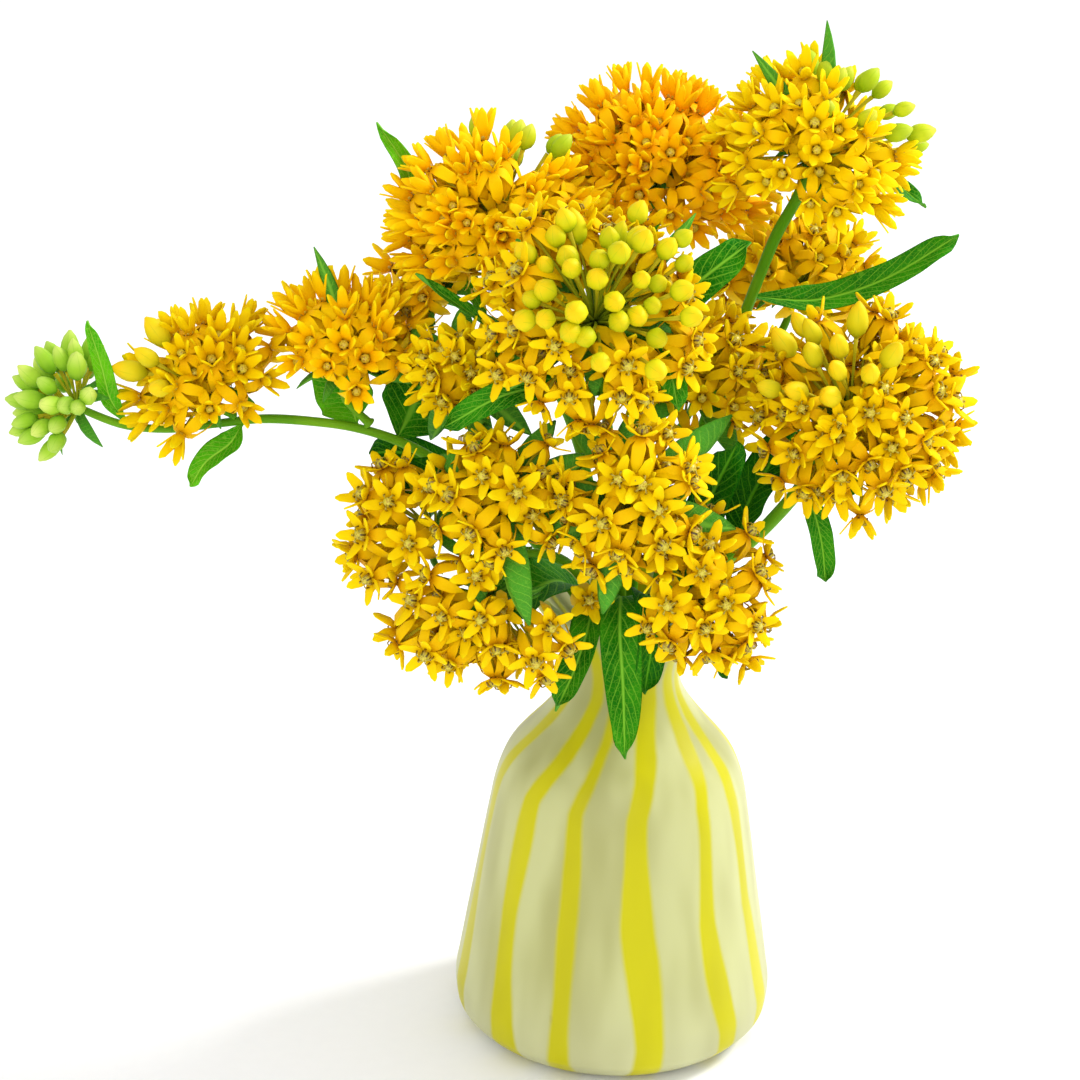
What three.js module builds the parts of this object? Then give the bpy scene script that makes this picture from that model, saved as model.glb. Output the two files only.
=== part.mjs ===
// Orange and yellow milkweed standing in a small striped glass vase.
// Millimetres, +Z up. The origin is the centre of the vase's foot, and the front of the bunch faces -Y.
// Each stem, side shoot, leaf and umbel (the round head of flowers on one stalk) is a solid of its own.

import * as THREE from 'three';
import { LoftGeometry } from 'three/addons/geometries/LoftGeometry.js';

// ---- driving dimensions ----

const gap = 0.35; // kept between pieces that touch
const vase = {
  footRadius: 27, // flat face that it stands on
  bodyRadius: 39.8, // widest, where the rounded corner of the foot ends
  cornerHeight: 10.6,
  wall: 3,
  floor: 7, // thickness of the bottom, a disc of its own
  // radius and height up the outside of the wall, from the foot over the shoulder and neck to the flared lip
  side: [
    [39.2, 7.35], [39.8, 10.6], [37.6, 25.8], [35.0, 42.2], [32.4, 58.7], [30.6, 68.1], [27.8, 75.1], [24.0, 79.8],
    [20.0, 84.5], [16.5, 89.2], [14.1, 93.9], [13.4, 98.6], [14.4, 103.3], [17.1, 108.4], [22.6, 115.6],
  ],
  segments: 44,
  // the wall's rings, one above another: the share of its length that each one starts and ends at, and its steps
  rings: { vase_body: [0, 0.46, 10], vase_neck: [0.46, 1, 13] },
};
const neckRing = 7.6; // radius on which the stems stand in the neck, around a clear middle
const neckHeight = 98;
const stemSides = 8;
const stemStep = 11; // length of stem between two rings
const leafThickness = 0.7;
const leafSteps = 8;
const petioleWidth = 1.4;
const umbelSides = 14;
const umbelRings = 5;
const umbelLead = 7; // length of stalk that runs straight up an umbel's axis

// ---- materials ----

const paint = (color, roughness) => new THREE.MeshStandardMaterial({ color, roughness, metalness: 0 });
const glass = paint(0xd8d9ae, 0.3);
const green = paint(0x7f9d1c, 0.55);
const leafGreen = paint(0x2c6a14, 0.5);
const petals = {
  bud: paint(0xa8bc32, 0.5),
  lemon: paint(0xf0cc08, 0.6),
  yellow: paint(0xf5bd05, 0.6),
  amber: paint(0xe0a008, 0.6),
  orange: paint(0xf89a06, 0.6),
};

// ---- umbels: hub where the flower stalks meet, direction faced, reach of the flowers and half angle ----

const umbels = {
  umbel_tip_green_buds: { hub: [-132, -12, 165], faces: [-0.8, -0.15, 0.5], reach: 15, spread: 65, tint: 'bud' },
  umbel_left_yellow: { hub: [-101, -8, 170], faces: [-0.4, -0.15, 0.9], reach: 19, spread: 82, tint: 'yellow' },
  umbel_left_orange: { hub: [-69, -2, 174], faces: [0.1, 0, 1], reach: 20, spread: 68, tint: 'orange' },
  umbel_upper_left: { hub: [-34, 10, 206], faces: [-0.15, 0, 1], reach: 22, spread: 84, tint: 'orange' },
  umbel_top_orange: { hub: [3, 36, 211], faces: [0, 0.1, 1], reach: 24, spread: 92, tint: 'orange' },
  umbel_top_lemon: { hub: [40, 16, 225], faces: [0.25, -0.1, 0.95], reach: 23, spread: 100, tint: 'lemon' },
  umbel_right: { hub: [51, -8, 168], faces: [0.4, -0.5, 0.75], reach: 26, spread: 95, tint: 'yellow' },
  umbel_front_budded: { hub: [-10, -32, 199], faces: [-0.05, -0.7, 0.7], reach: 24, spread: 85, tint: 'yellow' },
  umbel_small_left: { hub: [-48, 16, 188], faces: [-0.8, 0.05, 0.5], reach: 12, spread: 55, tint: 'orange' },
  umbel_inner_left: { hub: [-40, -12, 178], faces: [-0.3, -0.85, 0.4], reach: 12, spread: 70, tint: 'amber' },
  umbel_inner_amber: { hub: [14, 6, 171], faces: [0, -0.3, 0.9], reach: 16, spread: 72, tint: 'amber' },
  umbel_back_right: { hub: [39, 50, 180], faces: [0.1, 0.35, 0.93], reach: 20, spread: 95, tint: 'amber' },
  umbel_low_left: { hub: [-29, -38, 156.5], faces: [-0.3, -0.8, 0.55], reach: 16, spread: 68, tint: 'amber' },
  umbel_low_centre: { hub: [-1, -42, 160], faces: [0.05, -0.95, 0.3], reach: 17, spread: 70, tint: 'yellow' },
  umbel_low_right: { hub: [17, -36, 135], faces: [0.35, -0.9, 0.05], reach: 21, spread: 85, tint: 'yellow' },
  umbel_drooping_left: { hub: [-46, -23, 141.5], faces: [-0.9, -0.25, 0.3], reach: 22, spread: 48, tint: 'yellow' },
  umbel_drooping: { hub: [-32, -34, 131], faces: [-0.4, -0.7, -0.6], reach: 24, spread: 70, tint: 'yellow' },
};

// ---- main stems: bearing in the neck, way up from the mouth, radius at the foot and under the umbel ----

const stems = {
  stem_left_long: {
    bearing: 172, radii: [2.1, 1.1], to: 'umbel_tip_green_buds',
    way: [[-9, 1, 109], [-22, 2, 128], [-43, 1, 147], [-63, 0, 157], [-93, -4, 160.5], [-106, -8, 159], [-119, -10, 160]],
  },
  stem_upper_left: {
    bearing: 127, radii: [2, 1.5], to: 'umbel_upper_left',
    way: [[-6, 8, 118], [-13, 12, 150], [-27, 12, 184]],
  },
  stem_top: {
    bearing: 84, radii: [2, 1.5], to: 'umbel_top_orange',
    way: [[1, 9.5, 118], [1, 18, 150], [2, 32, 190]],
  },
  stem_top_right: {
    bearing: 40, radii: [2.1, 1.6], to: 'umbel_top_lemon',
    way: [[7.5, 6.5, 118], [15, 13, 150], [27, 20, 188], [33, 20, 206]],
  },
  stem_right: {
    bearing: 355, radii: [2.2, 1.9], to: 'umbel_right',
    way: [[8.6, -1, 108], [16, -1, 121], [28, 0, 131], [40, -2, 147]],
  },
  stem_low_right: {
    bearing: 308, radii: [1.9, 1.3], to: 'umbel_low_right',
    way: [[5.4, -7, 108], [8, -14, 122], [11, -22, 131]],
  },
  stem_front: {
    bearing: 262, radii: [2, 1.3], to: 'umbel_front_budded',
    way: [[-1.5, -9.5, 118], [-2.5, -15, 137], [-5, -18, 160], [-8, -21, 181]],
  },
  stem_low_left: {
    bearing: 217, radii: [1.9, 1.2], to: 'umbel_drooping',
    way: [[-7, -6, 110], [-10, -12, 124], [-16, -19, 134], [-25, -25, 137.5]],
  },
};

// ---- side shoots: each leaves a main stem near a place, and ends under its umbel ----

const shoots = {
  shoot_left_yellow: { on: 'stem_left_long', near: [-94, -4, 161], radii: [0.9, 0.8], to: 'umbel_left_yellow' },
  shoot_left_orange: { on: 'stem_left_long', near: [-62, 0, 157], radii: [1.2, 1], to: 'umbel_left_orange' },
  shoot_inner_left: {
    on: 'stem_left_long', near: [-38, 1, 143], way: [[-38, -1, 160]], radii: [1.1, 0.9], to: 'umbel_inner_left',
  },
  shoot_small_left: {
    on: 'stem_upper_left', near: [-22, 12, 172], way: [[-32, 14, 179]], radii: [1.1, 0.9], to: 'umbel_small_left',
  },
  shoot_inner_amber: { on: 'stem_top', near: [1, 17, 145], way: [[10, 12, 155]], radii: [1.2, 1], to: 'umbel_inner_amber' },
  shoot_back_right: {
    on: 'stem_top_right', near: [16, 14, 154], way: [[28, 34, 166]], radii: [1.4, 1.1], to: 'umbel_back_right',
  },
  shoot_low_left: {
    on: 'stem_low_left', near: [-14, -17, 132], way: [[-20, -24, 144]], radii: [1.1, 0.9], to: 'umbel_low_left',
  },
  shoot_low_centre: {
    on: 'stem_front', near: [-3, -15, 140], way: [[-2, -25, 152]], radii: [1.1, 0.9], to: 'umbel_low_centre',
  },
  shoot_drooping_left: {
    on: 'stem_low_left', near: [-21, -22, 136.5], way: [[-32, -21, 138]], radii: [1, 0.9], to: 'umbel_drooping_left',
  },
};

// ---- leaves: each leaves its stem near a place, and follows a way to its tip ----

const leaves = {
  leaf_tip_upright: {
    on: 'stem_left_long', near: [-120, -10, 160], way: [[-124, -12, 167], [-126, -14, 177], [-129, -15, 188]],
    width: 4.6, faces: [0.3, -1, 0.3],
  },
  leaf_left_hanging: {
    on: 'stem_left_long', near: [-93, -4, 160.5], way: [[-96, -8, 156], [-102, -11, 151.5], [-105, -14, 146.5]],
    width: 6.4, faces: [-0.6, -0.8, 0.4],
  },
  leaf_fork_bright: {
    on: 'stem_left_long', near: [-66, 0, 157.5], way: [[-69, 6, 163], [-76, 9, 172]],
    width: 10.7, faces: [-0.2, -1, 0.3],
  },
  leaf_fork_broad: {
    on: 'stem_left_long', near: [-57, 0, 154], way: [[-54, 7, 160], [-50, 10, 170], [-49, 7, 179]],
    width: 14, faces: [0, -1, -0.3],
  },
  leaf_fork_dark: {
    on: 'stem_left_long', near: [-37, 1, 142], way: [[-48, 7, 146], [-56, 7, 149], [-64, 6, 149]],
    width: 7, faces: [0, -0.9, 0.4],
  },
  leaf_low_left_dark: {
    on: 'stem_left_long', near: [-31, 2, 136.5], way: [[-35, -6, 143], [-44, -11, 149], [-56, -14, 151]],
    width: 9.5, faces: [0.1, -0.8, 0.6],
  },
  leaf_mouth_left: {
    on: 'stem_low_left', near: [-8, -8.5, 116.5], way: [[-15, -11, 124.5], [-20, -16, 126], [-30, -22, 119]],
    width: 13, faces: [-0.3, -0.5, 0.8],
  },
  leaf_mouth_hanging_short: {
    on: 'stem_low_left', near: [-7.5, -7, 113], way: [[-8.5, -17, 121.5], [-9, -25, 119], [-12, -31, 110], [-16, -34, 101]],
    width: 7.2, faces: [-0.3, -0.8, 0.6],
  },
  leaf_mouth_hanging_long: {
    on: 'stem_front', near: [-1.5, -9.5, 117], way: [[-1.5, -18, 124.5], [-1.5, -26, 120], [0, -32, 106], [1, -38, 91]],
    width: 9.5, faces: [0.1, -0.9, 0.4],
  },
  leaf_mouth_dark: {
    on: 'stem_low_right', near: [6.5, -10, 115], way: [[4.5, -19, 126], [6.5, -26, 120], [5, -31, 105]],
    width: 7, faces: [0.2, -1, 0.4],
  },
  leaf_low_right_curled: {
    on: 'stem_low_right', near: [9, -17, 126], way: [[15, -20, 122], [20, -24, 115], [24.5, -29, 109]],
    width: 4, faces: [0.6, -0.7, 0.4],
  },
  leaf_right_upright: {
    on: 'stem_low_right', near: [10, -19, 128.5], way: [[15, -16, 138], [19, -19, 152], [24.5, -22, 167]],
    width: 9, faces: [-0.2, -1, 0.1],
  },
  leaf_right_hanging: {
    on: 'stem_right', near: [41, -2, 148], way: [[44, -6, 143], [46.5, -7, 134], [47.5, -8, 126]],
    width: 5.4, faces: [0.3, -1, 0.2],
  },
  leaf_right_short: {
    on: 'stem_right', near: [39, -2, 145.5], way: [[47, 3, 144], [56, 6, 146]],
    width: 5, faces: [0.1, -0.6, 0.8],
  },
  leaf_right_behind: {
    on: 'stem_right', near: [26, 0, 129.5], way: [[28, 7, 138], [33, 10, 148], [40, 13, 157]],
    width: 9.7, faces: [-0.5, -0.8, 0.3],
  },
  leaf_front_veined: {
    on: 'stem_front', near: [-7.5, -20, 177], way: [[-17, -27, 181], [-30, -34, 181], [-44, -36, 173]],
    width: 6.6, faces: [-0.1, -0.8, 0.6],
  },
  leaf_bud_lower_right: {
    on: 'stem_front', near: [-8, -21, 181], way: [[0, -29, 189], [7, -36, 190], [10, -40, 181]],
    width: 6.6, faces: [0.2, -0.6, 0.9],
  },
  leaf_bud_upright: {
    on: 'stem_front', near: [-8.8, -25, 188.5], way: [[-6, -17, 199], [-1, -15, 210], [4, -16, 221]],
    width: 3.8, faces: [-0.3, -1, 0.2],
  },
  leaf_bud_right_veined: {
    on: 'stem_front', near: [-8.5, -23, 185.5], way: [[2, -23, 195], [14, -23, 207], [25, -21, 216]],
    width: 8.8, faces: [0.1, -0.9, 0.45],
  },
  leaf_upper_left_narrow: {
    on: 'stem_upper_left', near: [-27, 12, 184], way: [[-32, -3, 186], [-40, -14, 194], [-52, -18, 204]],
    width: 3.8, faces: [-0.1, -0.7, 0.7],
  },
  leaf_upper_left_pointed: {
    on: 'shoot_small_left', near: [-36, 15, 182], way: [[-43, 28, 187], [-54, 29, 201], [-57, 23, 216], [-64, 17, 229]],
    width: 6.4, faces: [0.5, -1, 0.2],
  },
  leaf_top_right_small: {
    on: 'stem_top_right', near: [34.5, 19, 211], way: [[46, 24, 213], [59, 26, 216], [68, 27, 210]],
    width: 4.6, faces: [0, -0.7, 0.7],
  },
  leaf_right_long: {
    on: 'stem_top_right', near: [27, 20, 188], way: [[42, 25, 186], [58, 29, 190], [77, 34, 201]],
    width: 6, faces: [-0.2, -0.8, 0.6],
  },
};

// ---- shapes ----

const vector = (place) => new THREE.Vector3(...place);
const direction = (along) => vector(along).normalize();
const smooth = (places) => new THREE.CatmullRomCurve3(places, false, 'centripetal');

const turned = (profile) => new THREE.LatheGeometry(profile, vase.segments).rotateX(Math.PI / 2);

// The thick bottom of the vase: a disc with a rounded corner.
function footGeometry() {
  const cornerWidth = vase.bodyRadius - vase.footRadius;
  const rise = Math.asin((vase.cornerHeight - vase.floor) / vase.cornerHeight);
  const corner = new THREE.EllipseCurve(
    vase.footRadius, vase.cornerHeight, cornerWidth, vase.cornerHeight, -Math.PI / 2, -rise,
  );
  return turned([new THREE.Vector2(0, 0), ...corner.getPoints(6), new THREE.Vector2(0, vase.floor)]);
}

// One ring of the wall: up the outside and back down the inside, with a rounded edge where it ends in the lip.
function wallGeometry([from, to, steps]) {
  const side = new THREE.SplineCurve(vase.side.map(([radius, height]) => new THREE.Vector2(radius, height)));
  const clear = gap / 2 / side.getLength();
  const start = from === 0 ? 0 : from + clear;
  const end = to === 1 ? 1 : to - clear;
  const outer = [];
  const inner = [];
  for (let i = 0; i <= steps; i += 1) {
    const share = THREE.MathUtils.lerp(start, end, i / steps);
    const place = side.getPointAt(share);
    const tangent = side.getTangentAt(share);
    outer.push(place);
    inner.unshift(new THREE.Vector2(place.x - tangent.y * vase.wall, place.y + tangent.x * vase.wall));
  }
  const edge = outer.at(-1).clone().lerp(inner[0], 0.5).addScaledVector(side.getTangentAt(1), vase.wall / 2);
  return turned([...outer, ...(to === 1 ? [edge] : []), ...inner, outer[0]]);
}

// A tapering round stem along a path, closed at both ends.
function stemGeometry(path, [footRadius, tipRadius]) {
  const steps = Math.max(4, Math.round(path.getLength() / stemStep));
  const frames = path.computeFrenetFrames(steps, false);
  const ring = (i, radius) => {
    const middle = path.getPointAt(i / steps);
    return Array.from({ length: stemSides }, (_, k) => {
      const turn = (2 * Math.PI * k) / stemSides;
      return middle.clone()
        .addScaledVector(frames.normals[i], radius * Math.cos(turn))
        .addScaledVector(frames.binormals[i], radius * Math.sin(turn));
    });
  };
  const sections = [ring(0, 0)];
  for (let i = 0; i <= steps; i += 1) {
    sections.push(ring(i, THREE.MathUtils.lerp(footRadius, tipRadius, i / steps)));
  }
  sections.push(ring(steps, 0));
  return new LoftGeometry(sections);
}

// A lance-shaped leaf along a path: its edges stand up from the midrib in a shallow fold.
// Its middle faces the way given, and that way is carried out to both ends with the least turn.
function leafGeometry(path, width, faces) {
  const lifts = [];
  const carry = (lift, i) => lift.clone().projectOnPlane(path.getTangentAt(i / leafSteps)).normalize();
  lifts[leafSteps / 2] = carry(direction(faces), leafSteps / 2);
  for (let i = leafSteps / 2; i < leafSteps; i += 1) lifts[i + 1] = carry(lifts[i], i + 1);
  for (let i = leafSteps / 2; i > 0; i -= 1) lifts[i - 1] = carry(lifts[i], i - 1);
  const section = (i, scale) => {
    const t = i / leafSteps;
    const middle = path.getPointAt(t);
    const lift = lifts[i];
    const side = new THREE.Vector3().crossVectors(lift, path.getTangentAt(t));
    const blade = Math.max(0, Math.sin(Math.PI * t ** 0.8)) ** 0.85;
    const half = scale * (petioleWidth / 2 * (1 - 0.7 * t) + (width - petioleWidth) / 2 * blade);
    const thick = scale * leafThickness / 2;
    const corner = (across, rise) => middle.clone().addScaledVector(side, across).addScaledVector(lift, rise);
    return [corner(half, half * 0.3), corner(0, thick), corner(-half, half * 0.3), corner(0, -thick)];
  };
  const sections = [section(0, 0)];
  for (let i = 0; i <= leafSteps; i += 1) sections.push(section(i, 1));
  sections.push(section(leafSteps, 0));
  return new LoftGeometry(sections);
}

// The space that an umbel's flowers fill: a dome about the hub, open below like an umbrella.
function umbelGeometry(reach, spread) {
  const profile = [new THREE.Vector2(0, 0)];
  for (let i = 0; i <= umbelRings; i += 1) {
    const angle = THREE.MathUtils.degToRad(spread) * (1 - i / umbelRings);
    profile.push(new THREE.Vector2(reach * Math.sin(angle), reach * Math.cos(angle)));
  }
  return new THREE.LatheGeometry(profile, umbelSides).rotateX(Math.PI / 2);
}

// ---- where pieces meet ----

// The end of a stalk: straight up the umbel's axis to just under its hub.
function approach(name) {
  const { hub, faces } = umbels[name];
  const along = direction(faces);
  return [umbelLead, 2 * gap].map((distance) => vector(hub).addScaledVector(along, -distance));
}

// Where a shoot or leaf of some radius leaves a stem, on the way from the stem's nearest place to a point.
function springing(stem, near, next, radius) {
  const steps = 200;
  let best = 0;
  for (let i = 0; i <= steps; i += 1) {
    const nearer = stem.path.getPointAt(i / steps).distanceTo(near) < stem.path.getPointAt(best / steps).distanceTo(near);
    if (nearer) best = i;
  }
  const place = stem.path.getPointAt(best / steps);
  const outward = next.clone().sub(place).normalize();
  const lean = outward.dot(stem.path.getTangentAt(best / steps));
  const reach = THREE.MathUtils.lerp(...stem.radii, best / steps) + gap + radius * Math.abs(lean);
  return place.addScaledVector(outward, reach / Math.sqrt(1 - lean * lean));
}

// ---- assembly ----

const milkweed = new THREE.Group();

function add(name, geometry, material) {
  const mesh = new THREE.Mesh(geometry, material);
  mesh.name = name;
  milkweed.add(mesh);
  return mesh;
}

add('vase_foot', footGeometry(), glass);
for (const [name, ring] of Object.entries(vase.rings)) add(name, wallGeometry(ring), glass);

const grown = {};
for (const [name, { bearing, way, radii, to }] of Object.entries(stems)) {
  const turn = THREE.MathUtils.degToRad(bearing);
  const at = (radius, height) => new THREE.Vector3(radius * Math.cos(turn), radius * Math.sin(turn), height);
  const inVase = [at(12.5, vase.floor + 1.2), at(10.5, 50), at(neckRing, neckHeight - 8), at(neckRing, neckHeight)];
  const path = smooth([...inVase, ...way.map(vector), ...approach(to)]);
  grown[name] = { path, radii };
  add(name, stemGeometry(path, radii), green);
}

for (const [name, { on, near, way = [], radii, to }] of Object.entries(shoots)) {
  const rest = [...way.map(vector), ...approach(to)];
  const start = springing(grown[on], vector(near), rest[0], radii[0]);
  const path = smooth([start, ...rest]);
  grown[name] = { path, radii };
  add(name, stemGeometry(path, radii), green);
}

for (const [name, { on, near, way, width, faces }] of Object.entries(leaves)) {
  const rest = way.map(vector);
  const start = springing(grown[on], vector(near), rest[0], petioleWidth / 2);
  add(name, leafGeometry(smooth([start, ...rest]), width, faces), leafGreen);
}

for (const [name, { hub, faces, reach, spread, tint }] of Object.entries(umbels)) {
  const umbel = add(name, umbelGeometry(reach, spread), petals[tint]);
  umbel.position.set(...hub);
  umbel.quaternion.setFromUnitVectors(new THREE.Vector3(0, 0, 1), direction(faces));
}

export default milkweed;
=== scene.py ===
"""Orange and yellow milkweed standing in a striped opal glass vase.

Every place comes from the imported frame. A stem or a leaf is read back from the rings of its CAD mesh, an
umbel's hub, axis and reach from its dome, and the vase from its profile. New surfaces are numpy arrays: rings
of points carried along a line, then skinned. Lengths are metres, and MM turns millimetres into them.
"""

import math

import bpy
import numpy as np
from mathutils import Matrix, Vector


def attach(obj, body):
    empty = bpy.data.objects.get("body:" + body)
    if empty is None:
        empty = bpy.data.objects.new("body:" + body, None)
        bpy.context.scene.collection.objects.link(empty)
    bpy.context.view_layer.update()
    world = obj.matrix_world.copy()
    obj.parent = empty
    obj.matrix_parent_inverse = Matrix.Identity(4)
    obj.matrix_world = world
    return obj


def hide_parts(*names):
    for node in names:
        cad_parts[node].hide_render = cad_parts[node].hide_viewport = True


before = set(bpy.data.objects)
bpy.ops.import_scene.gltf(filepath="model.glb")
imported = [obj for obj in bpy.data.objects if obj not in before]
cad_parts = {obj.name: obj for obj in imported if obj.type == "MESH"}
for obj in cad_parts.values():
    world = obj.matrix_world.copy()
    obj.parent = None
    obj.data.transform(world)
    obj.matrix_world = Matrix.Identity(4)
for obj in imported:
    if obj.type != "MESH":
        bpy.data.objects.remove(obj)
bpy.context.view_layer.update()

MM = 0.001
UP = np.array([0.0, 0.0, 1.0])
GOLDEN_TURN = math.pi * (3 - math.sqrt(5))


# ---------------------------------------------------------------- small vector tools


def unit(v):
    """v scaled to length 1 along its last axis."""
    return v / np.maximum(np.linalg.norm(v, axis=-1, keepdims=True), 1e-12)


def bezier(ends, share):
    """Quadratic Bezier: (1-t)^2 a + 2t(1-t) b + t^2 c, for control points a, b, c and every t in share."""
    a, b, c = (np.asarray(p, float)[..., None, :] for p in ends)
    t = np.asarray(share)[:, None]
    return (1 - t) ** 2 * a + 2 * t * (1 - t) * b + t**2 * c


def through(values, count):
    """Catmull-Rom curve through rows of values, sampled at count even steps of the row number."""
    values = np.asarray(values, float)
    if values.ndim == 1:
        return through(values[:, None], count)[:, 0]
    padded = np.concatenate([2 * values[:1] - values[1:2], values, 2 * values[-1:] - values[-2:-1]])
    place = np.linspace(0, len(values) - 1, count)
    i = np.minimum(place.astype(int), len(values) - 2)
    t = (place - i)[:, None]
    a, b, c, d = (padded[i + k] for k in range(4))
    return 0.5 * (2 * b + (c - a) * t + (2 * a - 5 * b + 4 * c - d) * t**2 + (3 * b - a - 3 * c + d) * t**3)


def frames_about(directions):
    """Rotation matrices whose third column is each direction: x is level where it can be, y = z cross x."""
    z = unit(directions)
    helper = np.where(np.abs(z[..., 2:]) > 0.95, [1.0, 0.0, 0.0], UP)
    x = unit(np.cross(helper, z))
    return np.stack([x, np.cross(z, x), z], axis=-1)


# ---------------------------------------------------------------- surfaces


class Surface:
    """Points with faces of four and three corners, a UV place per corner, and a part number per face."""

    def __init__(self, points, quads, tris, quad_uv, tri_uv, part=0, tone=0.5):
        self.points = points
        self.quads, self.tris = quads, tris
        self.quad_uv, self.tri_uv = quad_uv, tri_uv
        self.quad_part = np.full(len(quads), part)
        self.tri_part = np.full(len(tris), part)
        self.tone = np.full(len(points), tone)

    def placed(self, turns, places, tones):
        """Copies of the surface, one for each rotation matrix, place and tone."""
        copies, size = len(places), len(self.points)
        out = Surface.__new__(Surface)
        out.points = (np.einsum("cij,nj->cni", turns, self.points) + places[:, None]).reshape(-1, 3)
        step = (np.arange(copies) * size)[:, None, None]
        out.quads = (self.quads[None] + step).reshape(-1, 4)
        out.tris = (self.tris[None] + step).reshape(-1, 3)
        out.quad_uv = np.tile(self.quad_uv, (copies, 1, 1))
        out.tri_uv = np.tile(self.tri_uv, (copies, 1, 1))
        out.quad_part = np.tile(self.quad_part, copies)
        out.tri_part = np.tile(self.tri_part, copies)
        out.tone = np.repeat(tones, size)
        return out


def joined(surfaces):
    """One surface of several, with their corner numbers moved on."""
    out = Surface.__new__(Surface)
    starts = np.cumsum([0] + [len(s.points) for s in surfaces[:-1]])
    out.points = np.concatenate([s.points for s in surfaces])
    out.quads = np.concatenate([s.quads + n for s, n in zip(surfaces, starts)])
    out.tris = np.concatenate([s.tris + n for s, n in zip(surfaces, starts)])
    for field in ("quad_uv", "tri_uv", "quad_part", "tri_part", "tone"):
        setattr(out, field, np.concatenate([getattr(s, field) for s in surfaces]))
    return out


def skin(rings, part=0, tone=0.5, u=None, v=None):
    """Closed skin over rings shaped (copies, stations, around, 3): each end closes on the middle of its ring.

    A ring runs anticlockwise as seen from the far end, so that faces point outwards.
    """
    copies, stations, around, _ = rings.shape
    u = np.linspace(0, 1, around + 1) if u is None else u
    v = np.linspace(0, 1, stations) if v is None else v
    poles = rings[:, [0, -1]].mean(axis=2)
    points = np.concatenate([rings.reshape(copies, -1, 3), poles], axis=1)
    s, k = (a.ravel() for a in np.meshgrid(np.arange(stations - 1), np.arange(around), indexing="ij"))
    n = (k + 1) % around
    quads = np.stack([s * around + k, s * around + n, (s + 1) * around + n, (s + 1) * around + k], axis=1)
    corners = ((0, 0), (1, 0), (1, 1), (0, 1))
    quad_uv = np.stack([np.stack([u[k + a], v[s + b]], axis=1) for a, b in corners], axis=1)
    k = np.arange(around)
    n = (k + 1) % around
    last = (stations - 1) * around
    middle = (u[k] + u[k + 1]) / 2

    def fan(columns, row):
        return np.stack([np.stack([c, np.full(around, row)], axis=1) for c in columns], axis=1)

    near = np.stack([np.full(around, last + around), n, k], axis=1)
    far = np.stack([np.full(around, last + around + 1), last + k, last + n], axis=1)
    tris = np.concatenate([near, far])
    tri_uv = np.concatenate([fan((middle, u[k + 1], u[k]), v[0]), fan((middle, u[k], u[k + 1]), v[-1])])
    one = Surface(points[0], quads, tris, quad_uv, tri_uv, part, tone)
    if copies == 1:
        return one
    unturned = np.broadcast_to(np.eye(3), (copies, 3, 3))
    many = one.placed(unturned, np.zeros((copies, 3)), np.full(copies, tone))
    many.points = points.reshape(-1, 3)
    return many


def tube_rings(centres, radii, sides):
    """Round rings about lines shaped (copies, stations, 3): centre + r (cos a N + sin a B).

    N is square to the line and kept near one axis of the frame, and B is square to both.
    """
    chord = np.abs(centres[:, -1] - centres[:, 0])
    helper = np.eye(3)[chord.argmin(axis=1)][:, None]
    along = unit(np.gradient(centres, axis=1))
    normal = unit(helper - (helper * along).sum(-1, keepdims=True) * along)
    binormal = np.cross(along, normal)
    angle = np.linspace(0, 2 * math.pi, sides, endpoint=False)[:, None]
    circle = np.cos(angle) * normal[:, :, None] + np.sin(angle) * binormal[:, :, None]
    return centres[:, :, None] + np.asarray(radii)[..., None, None] * circle


def to_object(name, surface, materials, replaced):
    """Puts the surface into the frame as a mesh object that rides on the one body."""
    mesh = bpy.data.meshes.new(name)
    corners = np.concatenate([surface.quads.ravel(), surface.tris.ravel()])
    sizes = np.concatenate([np.full(len(surface.quads), 4), np.full(len(surface.tris), 3)])
    mesh.vertices.add(len(surface.points))
    mesh.vertices.foreach_set("co", surface.points.astype(np.float32).ravel())
    mesh.loops.add(len(corners))
    mesh.loops.foreach_set("vertex_index", corners.astype(np.int32))
    mesh.polygons.add(len(sizes))
    mesh.polygons.foreach_set("loop_start", (np.cumsum(sizes) - sizes).astype(np.int32))
    parts = np.concatenate([surface.quad_part, surface.tri_part])
    mesh.polygons.foreach_set("material_index", parts.astype(np.int32))
    mesh.polygons.foreach_set("use_smooth", np.ones(len(sizes), bool))
    uv = np.concatenate([surface.quad_uv.reshape(-1, 2), surface.tri_uv.reshape(-1, 2)])
    mesh.uv_layers.new(name="UVMap").data.foreach_set("uv", uv.astype(np.float32).ravel())
    tone = mesh.attributes.new("tone", "FLOAT", "POINT")
    tone.data.foreach_set("value", surface.tone.astype(np.float32))
    mesh.update(calc_edges=True)
    mesh.validate()
    for material in materials:
        mesh.materials.append(material)
    piece = bpy.data.objects.new(name, mesh)
    bpy.context.scene.collection.objects.link(piece)
    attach(piece, "root")
    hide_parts(*replaced)


# ---------------------------------------------------------------- reading the CAD nodes back


def merged_mesh(node):
    """A CAD node's points with doubles merged, and its edges as pairs, both ways round."""
    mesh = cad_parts[node].data
    points = np.empty(len(mesh.vertices) * 3)
    mesh.vertices.foreach_get("co", points)
    points = points.reshape(-1, 3)
    edges = np.empty(len(mesh.edges) * 2, int)
    mesh.edges.foreach_get("vertices", edges)
    microns = np.round(points / (0.001 * MM))
    _, first, same = np.unique(microns, axis=0, return_index=True, return_inverse=True)
    edges = same.reshape(-1)[edges.reshape(-1, 2)]
    edges = np.unique(np.concatenate([edges, edges[:, ::-1]]), axis=0)
    return points[first], edges[edges[:, 0] != edges[:, 1]]


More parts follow.
